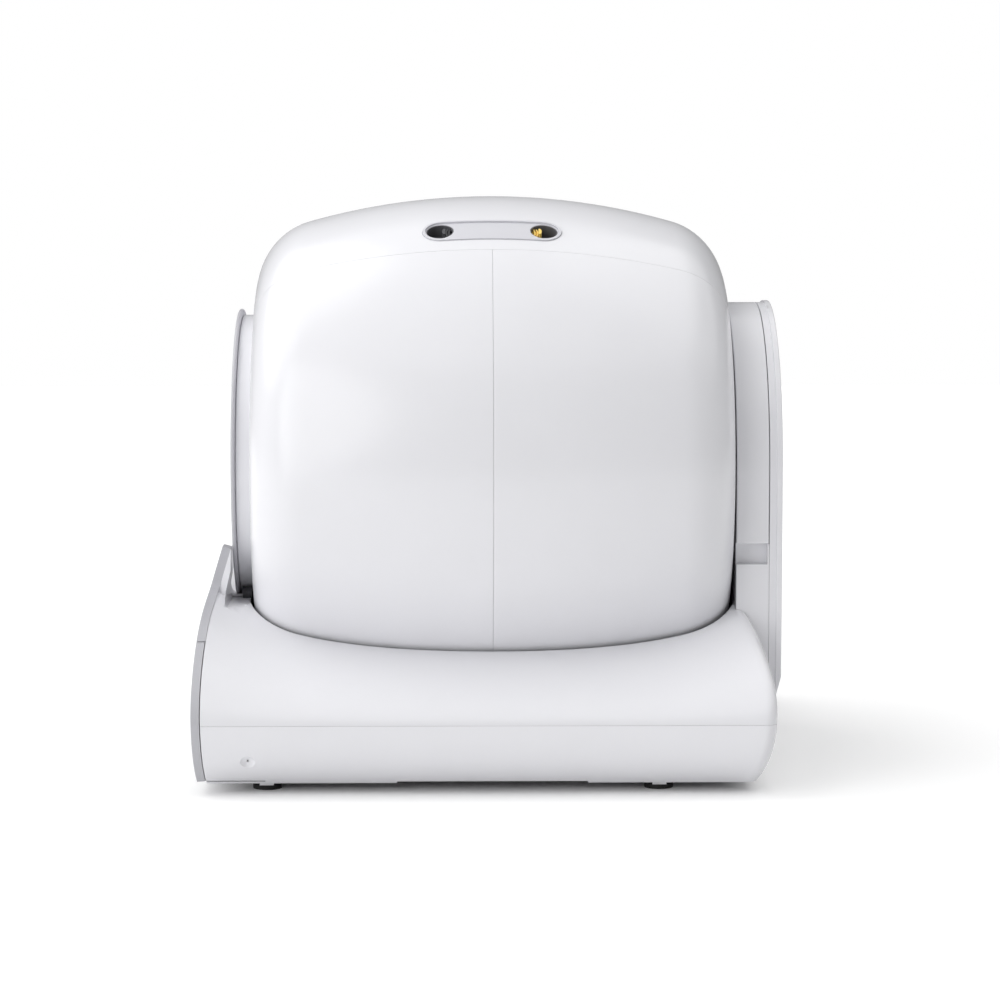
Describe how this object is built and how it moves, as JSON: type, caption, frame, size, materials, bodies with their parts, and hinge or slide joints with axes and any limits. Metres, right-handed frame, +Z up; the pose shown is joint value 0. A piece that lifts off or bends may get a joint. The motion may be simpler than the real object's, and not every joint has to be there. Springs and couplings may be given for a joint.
{
  "type": "self cleaning litter box",
  "caption": "Self cleaning litter box: a drum with a round entrance turns on a low base with a waste drawer, driven from a tower behind it.",
  "frame": {"origin": "middle of the footprint, on the surface that the feet stand on", "axes": "+Z up, -Y towards the entrance side, +X towards the side that the picture shows; the drum turns about a line along Y"},
  "size_m": [0.62, 0.5581, 0.552],
  "materials": {
    "white_shell": "glossy moulded",
    "grey_trim": "fine satin",
    "light_grey": "satin",
    "dark_plastic": "satin",
    "yellow_plastic": "satin",
    "black_rubber": "matte",
    "grey_rubber": "matte",
    "dark_glass": "glossy tinted",
    "steel": "satin",
    "bronze": "satin",
    "board": "satin"
  },
  "bodies": {
    "base": {"base_shell": "white_shell", "base_tray": "white_shell", "front_panel": "grey_trim", "display_window": "dark_glass", "foot_front_near": "black_rubber", "foot_front_far": "black_rubber", "foot_rear_near": "black_rubber", "foot_rear_far": "black_rubber", "load_cell_front_near": "steel", "load_cell_front_far": "steel", "load_cell_rear_near": "steel", "load_cell_rear_far": "steel", "roller_axle_near": "steel", "roller_axle_far": "steel", "tower_shell": "white_shell", "back_plate": "white_shell", "plate_screw_top_near": "steel", "plate_screw_top_far": "steel", "plate_screw_low_near": "steel", "plate_screw_low_far": "steel", "stub_axle": "steel", "hub_bush": "bronze", "home_sensor": "dark_plastic", "gearbox": "dark_plastic", "drive_motor": "steel", "control_board": "board", "power_inlet": "dark_plastic"},
    "drum": {"drum_front_shell": "white_shell", "drum_rear_shell": "white_shell", "seam_band": "white_shell", "cover_frame": "white_shell", "entrance_collar": "white_shell", "entrance_ring": "grey_trim", "litter_liner": "grey_rubber", "sifter_comb": "light_grey", "port_frame": "dark_plastic", "ring_gear": "light_grey", "rear_hub": "dark_plastic", "home_magnet": "steel"},
    "port_shutter": {"port_shutter": "dark_plastic"},
    "top_cover": {"top_cover": "white_shell", "grip_insert_near": "light_grey", "grip_insert_far": "light_grey"},
    "latch_near_front": {"latch_near_front": "dark_plastic"},
    "latch_near_rear": {"latch_near_rear": "yellow_plastic"},
    "latch_far_front": {"latch_far_front": "dark_plastic"},
    "latch_far_rear": {"latch_far_rear": "yellow_plastic"},
    "drawer": {"drawer_front": "grey_trim", "drawer_tray": "light_grey", "bag_clip_near": "dark_plastic", "bag_clip_far": "dark_plastic"},
    "arch_cover": {"arch_cover": "white_shell"},
    "power_button": {"power_button": "light_grey"},
    "menu_button": {"menu_button": "light_grey"},
    "roller_near": {"roller_near": "dark_plastic"},
    "roller_far": {"roller_far": "dark_plastic"},
    "drive_pinion": {"drive_pinion": "dark_plastic"}
  },
  "joints": [
    {"name": "drum_turn", "type": "hinge", "parent": "base", "child": "drum", "pos_m": [0, 0, 0.288], "axis": [0, 1, 0], "range_deg": [-360, 360]},
    {"name": "shutter_turn", "type": "hinge", "parent": "drum", "child": "port_shutter", "pos_m": [0, 0.025, 0.288], "axis": [0, -1, 0], "range_deg": [0, 30]},
    {"name": "cover_lift", "type": "slide", "parent": "drum", "child": "top_cover", "axis": [0, 0, 1], "range_m": [0, 0.12]},
    {"name": "latch_near_front_slide", "type": "slide", "parent": "top_cover", "child": "latch_near_front", "axis": [0, 1, 0], "range_m": [0, 0.006], "stiffness_N_per_m": 200},
    {"name": "latch_near_rear_slide", "type": "slide", "parent": "top_cover", "child": "latch_near_rear", "axis": [0, -1, 0], "range_m": [0, 0.006], "stiffness_N_per_m": 200},
    {"name": "latch_far_front_slide", "type": "slide", "parent": "top_cover", "child": "latch_far_front", "axis": [0, 1, 0], "range_m": [0, 0.006], "stiffness_N_per_m": 200},
    {"name": "latch_far_rear_slide", "type": "slide", "parent": "top_cover", "child": "latch_far_rear", "axis": [0, -1, 0], "range_m": [0, 0.006], "stiffness_N_per_m": 200},
    {"name": "drawer_slide", "type": "slide", "parent": "base", "child": "drawer", "axis": [0, -1, 0], "range_m": [0, 0.33]},
    {"name": "arch_cover_lift", "type": "slide", "parent": "base", "child": "arch_cover", "axis": [0, 0, 1], "range_m": [0, 0.1]},
    {"name": "power_button_press", "type": "slide", "parent": "base", "child": "power_button", "axis": [0, 1, 0], "range_m": [0, 0.0008], "stiffness_N_per_m": 600},
    {"name": "menu_button_press", "type": "slide", "parent": "base", "child": "menu_button", "axis": [0, 1, 0], "range_m": [0, 0.0008], "stiffness_N_per_m": 600},
    {"name": "roller_near_spin", "type": "hinge", "parent": "base", "child": "roller_near", "pos_m": [0.08879, -0.2398, 0.1612], "axis": [0, 1, 0], "continuous": true},
    {"name": "roller_far_spin", "type": "hinge", "parent": "base", "child": "roller_far", "pos_m": [-0.08879, -0.2398, 0.1612], "axis": [0, 1, 0], "continuous": true},
    {"name": "pinion_spin", "type": "hinge", "parent": "base", "child": "drive_pinion", "pos_m": [0, 0.2155, 0.1872], "axis": [0, 1, 0], "continuous": true}
  ],
  "couplings": [
    {"joint": "pinion_spin", "follows": "drum_turn", "ratio": 4},
    {"joint": "roller_near_spin", "follows": "drum_turn", "ratio": -16.167},
    {"joint": "roller_far_spin", "follows": "drum_turn", "ratio": -16.167}
  ]
}
